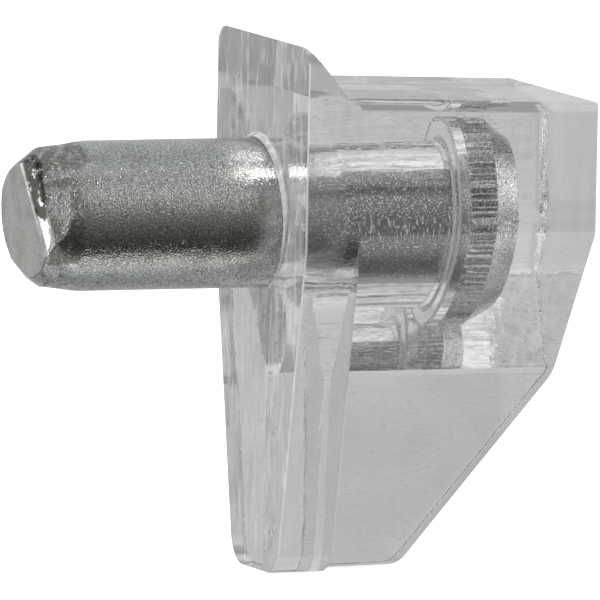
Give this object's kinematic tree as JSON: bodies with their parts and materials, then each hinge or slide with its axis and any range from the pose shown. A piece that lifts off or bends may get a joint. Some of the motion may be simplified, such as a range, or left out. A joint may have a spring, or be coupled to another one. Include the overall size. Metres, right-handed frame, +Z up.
{
  "type": "shelf support pin",
  "caption": "Clear moulded shelf support on a knurled steel pin: the pin fills a hole in a cabinet wall and the seat carries the shelf.",
  "frame": {"origin": "on the pin's axis, in the plane of the face that stands against the cabinet wall", "axes": "-X along the pin into the wall, +X out under the shelf, +Z up towards the shelf, Y along the shelf's edge"},
  "size_m": [0.0191, 0.0088, 0.0178],
  "materials": {
    "clear_plastic": "clear, glossy, moulded",
    "plated_steel": "zinc plated, satin, scuffed at the tip"
  },
  "bodies": {
    "root": {"bracket": "clear_plastic", "pin": "plated_steel"}
  },
  "joints": []
}
